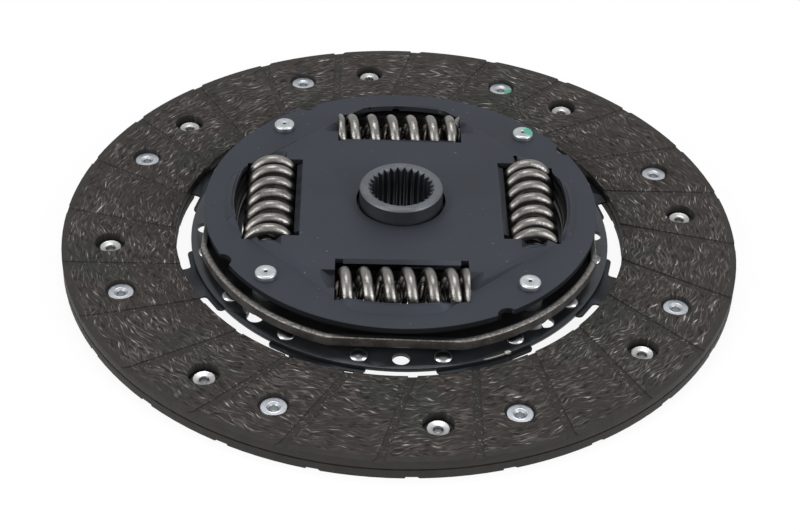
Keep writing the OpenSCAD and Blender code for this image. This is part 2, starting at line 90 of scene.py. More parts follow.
# Cover: its sheet, and how far its middle stands above the flats under the pins' heads
COVER_T = 2 * MM
COVER_RISE = 1.9 * MM

# Rear plate: its sheet, and the distance of its four flats from the axis
REAR_T = 2.2 * MM
REAR_FLAT_R = 68.9 * MM

# Where the retainer's edge is scraped and nicked
SCRAPE_ANGLE = math.radians(296.5)
NICK_ANGLE = math.radians(300.3)

# Damper springs: place of a spring's middle, half of its length, turn of the first window, and how
# far the middle of the wire runs past the ground end
SPRING_R = 46.2 * MM
SPRING_Z = 13.8 * MM
SPRING_HALF = 22.6 * MM
WINDOW_ANGLE = math.radians(1.9)
TIP_OVERRUN = 0.25 * MM

# Coils of the outer and inner springs, and the angle in degrees at which each one's wire passes
# its middle
OUTER_COIL = {
    "Mean radius": 7.4 * MM, "Wire radius": 2.0 * MM, "Pitch": 7.3 * MM,
    "Closed pitch": 4.6 * MM, "Hand": -1.0, "Sides": 20, "Rings per turn": 44,
}
OUTER_PHASES = (97, 220, 83, 206)
INNER_COIL = {
    "Mean radius": 3.65 * MM, "Wire radius": 1.05 * MM, "Pitch": 5 * MM,
    "Closed pitch": 2.3 * MM, "Hand": 1.0, "Sides": 12, "Rings per turn": 28,
}
INNER_PHASES = (0, 100, 200, 300)


def linear(code):
    """An sRGB hex code as the linear colour that a shader takes."""
    channels = [int(code[i:i + 2], 16) / 255 for i in (1, 3, 5)]
    return [c / 12.92 if c <= 0.04045 else ((c + 0.055) / 1.055) ** 2.4 for c in channels] + [1]


def add(tree, kind, inputs=None, **settings):
    """A node with its settings, the values of its inputs and the links into them."""
    node = tree.nodes.new(kind)
    for name, value in settings.items():
        setattr(node, name, value)
    for name, value in (inputs or {}).items():
        if isinstance(value, bpy.types.NodeSocket):
            tree.links.new(value, node.inputs[name])
        else:
            node.inputs[name].default_value = value
    return node


def on_circle(radius, angle, z):
    return Vector((radius * math.cos(angle), radius * math.sin(angle), z))


# Dabs of green inspection paint: middle and radius
PIN_DAB = (on_circle(PIN_R, PIN_ANGLE, cover_top) + Vector((2.6, 0.4, 0)) * MM, 2.4 * MM)
RIVET_DAB = (on_circle(FACING_RIVET_R, FRONT_RIVET_ANGLE + RIVET_PITCH, pack_h - 1.2 * MM)
             + Vector((3.4, -2.0, 0)) * MM, 2.2 * MM)


# Patterns that the materials share

def new_material(name, **values):
    """A material, its node tree, its shader with values set on it, and Object coordinates."""
    made = bpy.data.materials.new(name)
    made.use_nodes = True
    tree = made.node_tree
    shader = tree.nodes["Principled BSDF"]
    for socket, value in values.items():
        shader.inputs[socket.replace("_", " ")].default_value = value
    place = add(tree, "ShaderNodeTexCoord").outputs["Object"]
    return made, tree, shader, place


def grain(tree, place, size, detail=3, rough=0.5):
    """Noise from 0 to 1 with features of that size."""
    noise = add(tree, "ShaderNodeTexNoise", {
        "Vector": place, "Scale": 1 / size, "Detail": detail, "Roughness": rough})
    return noise.outputs["Fac"]


def mask(tree, value, start, end):
    """0 where value is at start and 1 where it is at end, with a soft step between."""
    return add(tree, "ShaderNodeMapRange", {
        "Value": value, "From Min": start, "From Max": end},
        interpolation_type="SMOOTHSTEP").outputs["Result"]


def spot(tree, place, centre, radius, ragged):
    """1 inside a blot round centre, with an edge that noise makes ragged."""
    away = add(tree, "ShaderNodeVectorMath", {0: place, 1: centre}, operation="DISTANCE")
    noise = grain(tree, place, ragged)
    edge = add(tree, "ShaderNodeMath", {0: noise, 1: ragged, 2: away.outputs["Value"]},
               operation="MULTIPLY_ADD")
    return mask(tree, edge.outputs[0], radius + ragged * 0.6, radius + ragged * 0.4)


def layers(tree, base, *coats):
    """A colour socket: base with each (mask, colour) laid over it in turn."""
    colour = base if isinstance(base, bpy.types.NodeSocket) else linear(base)
    for amount, coat in coats:
        top = coat if isinstance(coat, bpy.types.NodeSocket) else linear(coat)
        mixed = add(tree, "ShaderNodeMix", {"Factor": amount, 6: colour, 7: top},
                    data_type="RGBA")
        colour = mixed.outputs[2]
    return colour


def from_axis(tree, place, ring_r, first, pitch):
    """Distance from the axis of the nearest fastener in a ring of them."""
    split = add(tree, "ShaderNodeSeparateXYZ", {0: place}).outputs
    angle = add(tree, "ShaderNodeMath", {0: split[1], 1: split[0]}, operation="ARCTAN2")
    turned = add(tree, "ShaderNodeMath", {0: angle.outputs[0], 1: first}, operation="SUBTRACT")
    near = add(tree, "ShaderNodeMath", {0: turned.outputs[0], 1: pitch / 2, 2: -pitch / 2},
               operation="WRAP").outputs[0]
    turn = add(tree, "ShaderNodeMath", {0: near, 1: angle.outputs[0]}, operation="SUBTRACT")
    flat = add(tree, "ShaderNodeCombineXYZ", {0: split[0], 1: split[1]})
    folded = add(tree, "ShaderNodeVectorRotate", {
        "Vector": flat.outputs[0], "Angle": turn.outputs[0]}, rotation_type="Z_AXIS")
    return add(tree, "ShaderNodeVectorMath", {0: folded.outputs[0], 1: (ring_r, 0, 0)},
               operation="DISTANCE").outputs["Value"]


def level(tree, amount, low, high):
    """A number that goes from low to high as amount goes from 0 to 1."""
    return add(tree, "ShaderNodeMapRange", {
        "Value": amount, "To Min": low, "To Max": high}).outputs["Result"]


def relief(tree, shader, height, depth, strength=1.0):
    """Bump of that real depth on a shader."""
    bump = add(tree, "ShaderNodeBump", {
        "Height": height, "Distance": depth, "Strength": strength})
    tree.links.new(bump.outputs["Normal"], shader.inputs["Normal"])


def out_and_up(tree, place):
    """(distance from the hub's axis, height) of a point."""
    split = add(tree, "ShaderNodeSeparateXYZ", {0: place}).outputs
    flat = add(tree, "ShaderNodeCombineXYZ", {0: split[0], 1: split[1]})
    radius = add(tree, "ShaderNodeVectorMath", {0: flat.outputs[0]}, operation="LENGTH")
    return radius.outputs["Value"], split[2]


def from_middle(tree, height):
    """Distance of a height from the middle of the facing pack, up or down."""
    away = add(tree, "ShaderNodeMath", {0: height, 1: pack_h / 2}, operation="SUBTRACT")
    return add(tree, "ShaderNodeMath", {0: away.outputs[0]}, operation="ABSOLUTE").outputs[0]


def along_facing(tree, place, radius):
    """Distance round the facing. It follows the grooves' slant, so its seam lies in one."""
    turned = add(tree, "ShaderNodeVectorRotate", {"Vector": place, "Angle": -GROOVE_ANGLE},
                 rotation_type="Z_AXIS")
    split = add(tree, "ShaderNodeSeparateXYZ", {0: turned.outputs[0]})
    angle = add(tree, "ShaderNodeMath", {0: split.outputs[1], 1: split.outputs[0]},
                operation="ARCTAN2")
    slope = add(tree, "ShaderNodeMath", {0: GROOVE_OFFSET, 1: radius}, operation="DIVIDE")
    lean = add(tree, "ShaderNodeMath", {0: slope.outputs[0]}, operation="ARCSINE")
    follow = add(tree, "ShaderNodeMath", {0: angle.outputs[0], 1: lean.outputs[0]},
                 operation="SUBTRACT")
    whole = add(tree, "ShaderNodeMath", {0: follow.outputs[0], 1: math.pi, 2: -math.pi},
                operation="WRAP")
    return add(tree, "ShaderNodeMath", {0: whole.outputs[0], 1: FACING_RIVET_R},
               operation="MULTIPLY").outputs[0]


def strands(tree, sheet, length, width, start, end, slants, shift):
    """Short strands of that size: stretched noise, one layer for each slant in degrees.

    A strand begins where the noise reaches start and is full at end; shift moves the noise."""
    most = 0.0
    for number, slant in enumerate(slants):
        turned = add(tree, "ShaderNodeVectorRotate", {
            "Vector": sheet, "Angle": math.radians(slant)}, rotation_type="Z_AXIS")
        apart = shift + 17 * number
        stretched = add(tree, "ShaderNodeVectorMath", {
            0: turned.outputs[0], 1: (1 / length, 1 / width, 0), 2: (apart, apart, apart)},
            operation="MULTIPLY_ADD")
        noise = add(tree, "ShaderNodeTexNoise", {
            "Vector": stretched.outputs[0], "Scale": 1, "Detail": 1.5, "Roughness": 0.5})
        most = add(tree, "ShaderNodeMath", {0: noise.outputs["Fac"], 1: most},
                   operation="MAXIMUM").outputs[0]
    return mask(tree, most, start, end)


# Materials

def moulded_yarn_facing():
    """Yarn of glass and copper wound in waves, soaked in resin, pressed, cured and ground.

    The grinding lays the yarn open as short pale ends in a dark brown resin. Groove floors
    and the outer edge keep the smooth moulded skin, and a little grey lint sits in the grooves.
    The strands are drawn coarser than the yarn, because its fibres are too fine to show."""
    made, tree, shader, place = new_material("moulded_yarn_facing", Specular_IOR_Level=0.12)
    radius, height = out_and_up(tree, place)
    along = along_facing(tree, place, radius)
    sheet = add(tree, "ShaderNodeCombineXYZ", {0: along, 1: radius})
    waver = add(tree, "ShaderNodeTexNoise", {
        "Vector": place, "Scale": 1 / (20 * MM), "Detail": 2})
    centred = add(tree, "ShaderNodeVectorMath", {0: waver.outputs["Color"], 1: (0.5, 0.5, 0.5)},
                  operation="SUBTRACT")
    pushed = add(tree, "ShaderNodeVectorMath", {
        0: centred.outputs[0], 1: (5 * MM, 11 * MM, 0), 2: sheet.outputs[0]},
        operation="MULTIPLY_ADD").outputs[0]
    laid = strands(tree, pushed, 5.5 * MM, 0.95 * MM, 0.53, 0.68, (13, -10), 0)
    ground = strands(tree, pushed, 5.5 * MM, 0.8 * MM, 0.58, 0.73, (8, -14), 61)
    bright = strands(tree, pushed, 5.5 * MM, 0.8 * MM, 0.67, 0.79, (8, -14), 61)
    gap = strands(tree, pushed, 4.0 * MM, 1.4 * MM, 0.57, 0.69, (3, -9), 211)
    patches = level(tree, mask(tree, grain(tree, place, 10 * MM, 2), 0.42, 0.60), 0.35, 1.0)
    pitch = 2 * math.pi * FACING_RIVET_R / GROOVE_COUNT
    from_groove = add(tree, "ShaderNodeMath", {0: along, 1: pitch / 2, 2: -pitch / 2},
                      operation="WRAP")
    aside = add(tree, "ShaderNodeMath", {0: from_groove.outputs[0]}, operation="ABSOLUTE")
    in_groove = mask(tree, aside.outputs[0], 2.2 * MM, 1.8 * MM)
    inboard = mask(tree, radius, facing_r - 2.5 * MM, facing_r - 4 * MM)
    lint = mask(tree, grain(tree, place, 0.9 * MM, 3, 0.7), 0.61, 0.69)
    settled = add(tree, "ShaderNodeMath", {0: in_groove, 1: inboard}, operation="MULTIPLY")
    dust = add(tree, "ShaderNodeMath", {0: settled.outputs[0], 1: lint},
               operation="MULTIPLY").outputs[0]
    resin = layers(
        tree, "#292625",
        (grain(tree, place, 2.0 * MM, 4, 0.65), "#393533"),
        (mask(tree, grain(tree, place, 26 * MM, 1), 0.50, 0.70), "#2d2f2b"),
        (gap, "#1d1a19"))
    face = pack_h / 2
    below = mask(tree, from_middle(tree, height), face - 0.1 * MM, face - 0.3 * MM)
    rim = mask(tree, radius, facing_r - 3.2 * MM, facing_r - 1.4 * MM)
    skin = add(tree, "ShaderNodeMath", {0: level(tree, below, 0, 0.7), 1: rim},
               operation="MAXIMUM").outputs[0]
    skin_colour = layers(tree, "#292827", (grain(tree, place, 4 * MM, 3), "#363433"))
    coats = []
    for strand, tone in ((laid, "#4f4b49"), (ground, "#6c6967"), (bright, "#bab7b3")):
        coats.append((add(tree, "ShaderNodeMath", {0: strand, 1: patches},
                          operation="MULTIPLY").outputs[0], tone))
    colour = layers(tree, resin, *coats, (skin, skin_colour), (dust, "#827e7a"))
    tree.links.new(colour, shader.inputs["Base Color"])
    tree.links.new(level(tree, skin, 0.75, 0.6), shader.inputs["Roughness"])
    fine = grain(tree, place, 0.7 * MM, 3, 0.6)
    raised = add(tree, "ShaderNodeMath", {0: laid, 1: 0.8, 2: fine}, operation="MULTIPLY_ADD")
    relief(tree, shader, raised.outputs[0], 0.14 * MM, 0.7)
    return made


def blued_spring_steel():
    """Rolled spring steel, tempered blue: an even dark satin with faint rolling lines."""
    made, tree, shader, place = new_material("blued_spring_steel", Metallic=0.85)
    cloud = grain(tree, place, 9 * MM, 4)
    tree.links.new(layers(tree, "#1d1f22", (cloud, "#282b2f")), shader.inputs["Base Color"])
    tree.links.new(level(tree, cloud, 0.34, 0.5), shader.inputs["Roughness"])
    relief(tree, shader, grain(tree, place, 0.8 * MM), 0.03 * MM)
    return made


def black_phosphate_sheet():
    """Stamped sheet, phosphated and oiled: dark grey, half glossy, its edge scraped bare once."""
    made, tree, shader, place = new_material("black_phosphate_sheet", Metallic=0.6)
    cloud = grain(tree, place, 7 * MM, 4, 0.6)
    radius, height = out_and_up(tree, place)
    retainer_top = facing_t + segment_t + RETAINER_T
    scrape_middle = on_circle(retainer_r, SCRAPE_ANGLE, retainer_top)
    near = add(tree, "ShaderNodeVectorMath", {0: place, 1: scrape_middle}, operation="DISTANCE")
    ragged = add(tree, "ShaderNodeMath", {
        0: grain(tree, place, 1.2 * MM, 3), 1: 0.9 * MM, 2: height}, operation="MULTIPLY_ADD")
    reach = mask(tree, near.outputs["Value"], 4.6 * MM, 3.2 * MM)
    rising = mask(tree, ragged.outputs[0], retainer_top - 0.1 * MM, retainer_top + 0.2 * MM)
    outer = mask(tree, radius, retainer_r - 0.4 * MM, retainer_r - 0.25 * MM)
    corner = add(tree, "ShaderNodeMath", {0: rising, 1: outer}, operation="MULTIPLY")
    scrape = add(tree, "ShaderNodeMath", {0: reach, 1: corner.outputs[0]},
                 operation="MULTIPLY").outputs[0]
    nick = spot(tree, place, on_circle(retainer_r - 0.3 * MM, NICK_ANGLE, retainer_top),
                1.0 * MM, 1.7 * MM)
    colour = layers(tree, "#2d2f32", (cloud, "#3b3e42"), (scrape, "#a5a199"), (nick, "#c4c1ba"))
    tree.links.new(colour, shader.inputs["Base Color"])
    tree.links.new(level(tree, cloud, 0.30, 0.46), shader.inputs["Roughness"])
    relief(tree, shader, grain(tree, place, 0.9 * MM), 0.03 * MM)
    return made


def satin_blued_sheet():
    """Deep-drawn sheet with a thin blue-black phosphate: matt satin, a few pale rubbed specks.

    Below the flats under the pins' heads it is painted darker than its top, as shade."""
    made, tree, shader, place = new_material("satin_blued_sheet", Metallic=0.7)
    cloud = grain(tree, place, 22 * MM, 3)
    fine = grain(tree, place, 1.1 * MM, 4, 0.65)
    specks = mask(tree, grain(tree, place, 1.5 * MM, 1), 0.76, 0.82)
    height = add(tree, "ShaderNodeSeparateXYZ", {0: place}).outputs[2]
    flats = cover_top - COVER_RISE
    # painted shade: the sheet below the flats is darker
    shaded_skirt = mask(tree, height, flats - 0.1 * MM, flats - 0.5 * MM)
    colour = layers(tree, "#292c32", (cloud, "#32363e"), (specks, "#5b5f66"), (shaded_skirt, "#141619"))
    tree.links.new(colour, shader.inputs["Base Color"])
    tree.links.new(level(tree, fine, 0.54, 0.66), shader.inputs["Roughness"])
    relief(tree, shader, fine, 0.02 * MM)
    return made


def rim_sheet_painted_lit_and_shaded():
    """Deep-drawn sheet: brown and speckled on its outward wall, painted black as shade on its top
    and inside, and with a painted highlight, partly bare metal, along the rim's top edge.
    """
    made, tree, shader, place = new_material("rim_sheet_painted_lit_and_shaded", Metallic=0.5)
    radius, height = out_and_up(tree, place)
    normal = add(tree, "ShaderNodeNewGeometry").outputs["Normal"]
    outward = add(tree, "ShaderNodeVectorMath", {0: normal, 1: place}, operation="DOT_PRODUCT")
    wall = mask(tree, outward.outputs["Value"], 30 * MM, 55 * MM)
    # lip: a painted highlight along the rim's top edge, partly bare metal
    high = mask(tree, height, rear_high.z - 0.45 * MM, rear_high.z - 0.25 * MM)
    edge = mask(tree, outward.outputs["Value"], 24 * MM, 40 * MM)
    corner = mask(tree, radius, REAR_FLAT_R + 1 * MM, REAR_FLAT_R + 3 * MM)
    bare = add(tree, "ShaderNodeMath", {0: corner, 1: edge}, operation="MAXIMUM").outputs[0]
    lip = add(tree, "ShaderNodeMath", {0: high, 1: bare}, operation="MULTIPLY").outputs[0]
    cloud = grain(tree, place, 6 * MM, 4, 0.6)
    blotch = mask(tree, cloud, 0.42, 0.62)
    specks = mask(tree, grain(tree, place, 0.7 * MM, 3, 0.7), 0.65, 0.73)
    streaks = mask(tree, grain(tree, place, 1.1 * MM, 4, 0.7), 0.35, 0.65)
    rubbed = layers(tree, "#332f2c", (blotch, "#474340"), (specks, "#8f8b85"))
    lit_edge_metal = layers(tree, "#4a4846", (streaks, "#807e7b"))
    # black: painted shade on the top face and the inside
    black = layers(tree, "#111213", (cloud, "#1b1c1d"))
    colour = layers(tree, black, (wall, rubbed), (lip, lit_edge_metal))
    tree.links.new(colour, shader.inputs["Base Color"])
    tree.links.new(level(tree, lip, 0.55, 0.38), shader.inputs["Roughness"])
    relief(tree, shader, specks, 0.04 * MM)
    return made


def blanked_steel():
    """Thick plate, blanked, carburised and quenched in oil: dull and dark, and painted near black
    as shade between the plates.
    """
    made, tree, shader, place = new_material(
        "blanked_steel", Metallic=0.6, Specular_IOR_Level=0.2)
    cloud = grain(tree, place, 5 * MM, 4, 0.6)
    # near black: the plate's dark tone, partly painted shade
    tree.links.new(layers(tree, "#0d0d0c", (cloud, "#151413")), shader.inputs["Base Color"])
    tree.links.new(level(tree, cloud, 0.65, 0.8), shader.inputs["Roughness"])
    relief(tree, shader, grain(tree, place, 0.8 * MM), 0.04 * MM)
    return made


def phosphated_forging():
    """Forged hub, broached, turned and phosphated: dark grey with fine turning lines.

    Its walls and teeth are painted darker than its top, as shade."""
    made, tree, shader, place = new_material("phosphated_forging", Metallic=0.75)
    radius, height = out_and_up(tree, place)
    rings = add(tree, "ShaderNodeTexWave", {
        "Vector": add(tree, "ShaderNodeCombineXYZ", {0: radius, 2: height}).outputs[0],
        "Scale": 1 / (0.5 * MM) / 20, "Distortion": 1.5, "Detail": 2}, bands_direction="DIAGONAL")
    cloud = grain(tree, place, 4 * MM, 4, 0.6)
    # painted shade: walls and teeth below the top face are darker
    wall = mask(tree, height, hub_top - 0.3 * MM, hub_top - 0.9 * MM)
    colour = layers(tree, "#484b4f", (cloud, "#63676c"), (wall, "#35383c"))
    tree.links.new(colour, shader.inputs["Base Color"])
    tree.links.new(level(tree, cloud, 0.34, 0.5), shader.inputs["Roughness"])
    relief(tree, shader, rings.outputs["Fac"], 0.02 * MM, 0.6)
    return made


def zinc_plated(name, colours, rough, dab):
    """Cold-headed and zinc plated: pale and bluish, slightly crystalline, one green paint dab.

    Returns what new_material does, and the colour socket after it."""
    made, tree, shader, place = new_material(name)
    cloud = grain(tree, place, 1.8 * MM, 4, 0.65)
    scuff = mask(tree, grain(tree, place, 0.7 * MM, 3, 0.7), 0.58, 0.72)
    centre, radius = dab
    paint = spot(tree, place, centre, radius, 1.2 * MM)
    colour = layers(tree, colours[0], (cloud, colours[1]), (scuff, colours[2]), (paint, "#3f9a80"))
    tree.links.new(level(tree, paint, 1, 0.1), shader.inputs["Metallic"])
    tree.links.new(level(tree, cloud, rough, rough + 0.16), shader.inputs["Roughness"])
    relief(tree, shader, cloud, 0.04 * MM, 0.6)
    return made, tree, shader, place, colour


def turned_zinc_pin():
    """Turned and headed pin, zinc plated, its centre mark painted dark."""
    made, tree, shader, place, colour = zinc_plated(
        "turned_zinc_pin", ("#989c9f", "#b2b6b8", "#767a7e"), 0.3, PIN_DAB)
    off = from_axis(tree, place, PIN_R, PIN_ANGLE, QUARTER)
    mark = mask(tree, off, 0.75 * MM, 0.45 * MM)
    tree.links.new(layers(tree, colour, (mark, "#2b2d2f")), shader.inputs["Base Color"])
    return made


def rolled_zinc_rivet():
    """Tubular rivet, zinc plated: its head pale and bluish, its rolled tail in streaks of grey."""
    made, tree, shader, place, colour = zinc_plated(
        "rolled_zinc_rivet", ("#93979d", "#b4b8bd", "#70747a"), 0.3, RIVET_DAB)
    height = add(tree, "ShaderNodeSeparateXYZ", {0: place}).outputs[2]
    tail = mask(tree, from_middle(tree, height), 1.7 * MM, 1.4 * MM)
    front = from_axis(tree, place, FACING_RIVET_R, FRONT_RIVET_ANGLE, RIVET_PITCH)
    rear = from_axis(tree, place, FACING_RIVET_R, REAR_RIVET_ANGLE, RIVET_PITCH)
    off = add(tree, "ShaderNodeMath", {0: front, 1: rear}, operation="MINIMUM").outputs[0]
    bore = mask(tree, off, 1.6 * MM, 1.42 * MM)
    rolled = layers(tree, "#7f807f", (grain(tree, place, 1.4 * MM, 3), "#c0c0bf"))
    painted = layers(tree, colour, (tail, rolled), (bore, "#8b8e92"))
    tree.links.new(painted, shader.inputs["Base Color"])
    return made


def peened_spring_wire(name, dark, pale):
    """Hard-drawn wire, wound, ground at its ends and shot peened: warm grey, shiny, dimpled."""
    made, tree, shader, place = new_material(name, Metallic=1.0)
    cloud = grain(tree, place, 3.5 * MM, 3)
    dimples = grain(tree, place, 0.75 * MM, 2, 0.6)
    stain = mask(tree, grain(tree, place, 6 * MM, 3, 0.6), 0.55, 0.75)
    colour = layers(tree, dark, (cloud, pale), (stain, dark))
    tree.links.new(colour, shader.inputs["Base Color"])
    tree.links.new(level(tree, dimples, 0.25, 0.39), shader.inputs["Roughness"])
    relief(tree, shader, dimples, 0.13 * MM)
    return made


def black_oxide_rivet():
    """Cold-headed steel with a thin black oxide, with a painted highlight round the foot of its
    dome.
    """
    made, tree, shader, place = new_material("black_oxide_rivet", Metallic=1.0)
    cloud = grain(tree, place, 1.4 * MM, 3, 0.6)
    height = add(tree, "ShaderNodeSeparateXYZ", {0: place}).outputs[2]
    seat = facing_t + segment_t + RETAINER_T
    # painted highlight: pale from the foot of the dome downwards
    foot_highlight = mask(tree, height, seat + 0.9 * MM, seat + 0.3 * MM)
    colour = layers(tree, "#595b5f", (cloud, "#75777b"), (foot_highlight, "#bcbcbd"))
    tree.links.new(colour, shader.inputs["Base Color"])
    tree.links.new(level(tree, cloud, 0.24, 0.36), shader.inputs["Roughness"])
    relief(tree, shader, cloud, 0.02 * MM)
    return made


def moulded_friction_plastic():
    """Moulded resin with fibre filler: matt brown-grey with short pale fibres."""
    made, tree, shader, place = new_material("moulded_friction_plastic", Specular_IOR_Level=0.4)
    fibre = mask(tree, grain(tree, place, 0.9 * MM, 3, 0.6), 0.55, 0.7)
    colour = layers(tree, "#3f3a33", (fibre, "#5c564c"))
    tree.links.new(colour, shader.inputs["Base Color"])
    tree.links.new(level(tree, fibre, 0.7, 0.55), shader.inputs["Roughness"])
    relief(tree, shader, fibre, 0.04 * MM)
    return made


facing = moulded_yarn_facing()
segment_steel = blued_spring_steel()
retainer_steel = black_phosphate_sheet()
cover_steel = satin_blued_sheet()
rear_steel = rim_sheet_painted_lit_and_shaded()
flange_steel = blanked_steel()
hub_steel = phosphated_forging()
pin_zinc = turned_zinc_pin()
rivet_zinc = rolled_zinc_rivet()
outer_wire = peened_spring_wire("peened_spring_wire", "#54514e", "#8b8986")
# The inner springs' darker colours are painted shade, as they lie inside the outer springs.
inner_wire_in_painted_shade = peened_spring_wire("peened_inner_wire", "#3d3b38", "#5a5753")
segment_rivet_steel = black_oxide_rivet()
bush_plastic = moulded_friction_plastic()


# Pieces

def finish_piece(mesh, name, body, nodes, smooth_below=32):
    """An object of mesh that rides on body and stands for nodes, smooth but for its edges."""
    mesh.name = name
    for face in mesh.polygons:
        face.use_smooth = True
    mesh.set_sharp_from_angle(angle=math.radians(smooth_below))
    piece = bpy.data.objects.new(name, mesh)
    bpy.context.scene.collection.objects.link(piece)
    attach(piece, body)
    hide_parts(*nodes)
    return piece


def made_plain(source):
    """The mesh that source's modifiers give, without source itself."""
    bpy.context.view_layer.update()
    graph = bpy.context.evaluated_depsgraph_get()
    mesh = bpy.data.meshes.new_from_object(source.evaluated_get(graph), depsgraph=graph)
    start = source.data
    bpy.data.objects.remove(source)
    bpy.data.meshes.remove(start)
    return mesh


def dress(name, nodes, body, finish, edge, segments=2, edge_angle=28):
    """A copy of CAD nodes in that finish, with each sharp edge rounded by edge."""
    joined = bmesh.new()
    for node in nodes:
        joined.from_mesh(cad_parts[node].data)
    bmesh.ops.remove_doubles(joined, verts=joined.verts, dist=0.002 * MM)
    bmesh.ops.dissolve_limit(joined, angle_limit=math.radians(0.1),
                             verts=joined.verts, edges=joined.edges)
    mesh = bpy.data.meshes.new(name)
    joined.to_mesh(mesh)
    joined.free()
    mesh.materials.clear()
    mesh.materials.append(finish)
    for face in mesh.polygons:
        face.material_index = 0
    source = bpy.data.objects.new(name + ".source", mesh)
    bpy.context.scene.collection.objects.link(source)
    bevel = source.modifiers.new("edges", "BEVEL")
    bevel.width = edge
    bevel.segments = segments
    bevel.limit_method = "ANGLE"
    bevel.angle_limit = math.radians(edge_angle)
    return finish_piece(made_plain(source), name, body, nodes)


def lathe(profile, sides):
    """A mesh turned round Z from (radius, height) points in mm; radius 0 closes it on the axis."""
    made = bmesh.new()
    rings = []
    for radius, height in profile:
        turns = sides if radius > 0 else 1
        rings.append([made.verts.new(on_circle(radius * MM, 2 * math.pi * k / sides, height * MM))
                      for k in range(turns)])
    closed = profile[0][0] > 0
    pairs = list(zip(rings, rings[1:])) + ([(rings[-1], rings[0])] if closed else [])
    for low, high in pairs:
        for k in range(sides):
            around = [low[k % len(low)], low[(k + 1) % len(low)],
                      high[(k + 1) % len(high)], high[k % len(high)]]
            corners = list(dict.fromkeys(around))
            made.faces.new(corners)
    bmesh.ops.recalc_face_normals(made, faces=made.faces)
    mesh = bpy.data.meshes.new("turned")
    made.to_mesh(mesh)
    made.free()
    return mesh


def arc(centre_r, centre_z, radius, start, end, steps):
    """Points of a profile's round, its angles in degrees from straight out."""
    return [(centre_r + radius * math.cos(math.radians(start + (end - start) * k / steps)),
             centre_z + radius * math.sin(math.radians(start + (end - start) * k / steps)))
            for k in range(steps + 1)]


def new_geometry_tree(name, sizes):
    """A Geometry Nodes tree with a geometry input, named number inputs and a material input."""
    tree = bpy.data.node_groups.new(name, "GeometryNodeTree")
    tree.interface.new_socket("Geometry", in_out="INPUT", socket_type="NodeSocketGeometry")
    for size, kind in sizes:
        tree.interface.new_socket(size, in_out="INPUT", socket_type=kind)
    tree.interface.new_socket("Material", in_out="INPUT", socket_type="NodeSocketMaterial")
    tree.interface.new_socket("Geometry", in_out="OUTPUT", socket_type="NodeSocketGeometry")
    start = add(tree, "NodeGroupInput")
    return tree, start.outputs


def end_tree(tree, geometry, finish):
    """Closes a tree: real geometry in that material."""
    real = add(tree, "GeometryNodeRealizeInstances", {"Geometry": geometry})
    coated = add(tree, "GeometryNodeSetMaterial", {"Geometry": real.outputs[0],
                                                   "Material": finish})
    add(tree, "NodeGroupOutput", {"Geometry": coated.outputs[0]})


def run_tree(tree, mesh, values):
    """The plain mesh that tree makes of mesh with those inputs."""
    source = bpy.data.objects.new("source", mesh)
    bpy.context.scene.collection.objects.link(source)
    modifier = source.modifiers.new("nodes", "NODES")
    modifier.node_group = tree
    for item in tree.interface.items_tree:
        if item.in_out == "INPUT" and item.name in values:
            modifier[item.identifier] = values[item.name]
    return made_plain(source)


def ring_tree():
    """Copies of the geometry round a ring, one or more at each place."""
    tree, given = new_geometry_tree("ring of fasteners", [
        ("Places", "NodeSocketInt"), ("At each place", "NodeSocketInt"),
        ("Ring radius", "NodeSocketFloat"), ("First angle", "NodeSocketFloat"),
        ("Pitch angle", "NodeSocketFloat"), ("Spread angle", "NodeSocketFloat"),
        ("Height", "NodeSocketFloat"), ("Upside down", "NodeSocketFloat")])
    count = add(tree, "ShaderNodeMath", {0: given["Places"], 1: given["At each place"]},
                operation="MULTIPLY")
    line = add(tree, "GeometryNodeMeshLine", {"Count": count.outputs[0]})
    index = add(tree, "GeometryNodeInputIndex").outputs[0]
    share = add(tree, "ShaderNodeMath", {0: index, 1: given["At each place"]},
                operation="DIVIDE")
    place = add(tree, "ShaderNodeMath", {0: share.outputs[0]}, operation="FLOOR")
    within = add(tree, "ShaderNodeMath", {0: index, 1: given["At each place"]},
                 operation="MODULO")
    last = add(tree, "ShaderNodeMath", {0: given["At each place"], 1: 1.0},
               operation="SUBTRACT")
    half = add(tree, "ShaderNodeMath", {0: last.outputs[0], 1: 0.5}, operation="MULTIPLY")
    offset = add(tree, "ShaderNodeMath", {0: within.outputs[0], 1: half.outputs[0]},
                 operation="SUBTRACT")
    main = add(tree, "ShaderNodeMath", {
        0: place.outputs[0], 1: given["Pitch angle"], 2: given["First angle"]},
        operation="MULTIPLY_ADD")
    angle = add(tree, "ShaderNodeMath", {
        0: offset.outputs[0], 1: given["Spread angle"], 2: main.outputs[0]},
        operation="MULTIPLY_ADD")
    out = add(tree, "ShaderNodeCombineXYZ", {0: given["Ring radius"], 2: given["Height"]})
    seat = add(tree, "ShaderNodeVectorRotate", {
        "Vector": out.outputs[0], "Angle": angle.outputs[0]}, rotation_type="Z_AXIS")
    points = add(tree, "GeometryNodeSetPosition", {
        "Geometry": line.outputs[0], "Position": seat.outputs[0]})
    turn = add(tree, "ShaderNodeCombineXYZ", {0: given["Upside down"], 2: angle.outputs[0]})
    copies = add(tree, "GeometryNodeInstanceOnPoints", {
        "Points": points.outputs[0], "Instance": given["Geometry"],
        "Rotation": turn.outputs[0]})
    end_tree(tree, copies.outputs[0], given["Material"])
    return tree


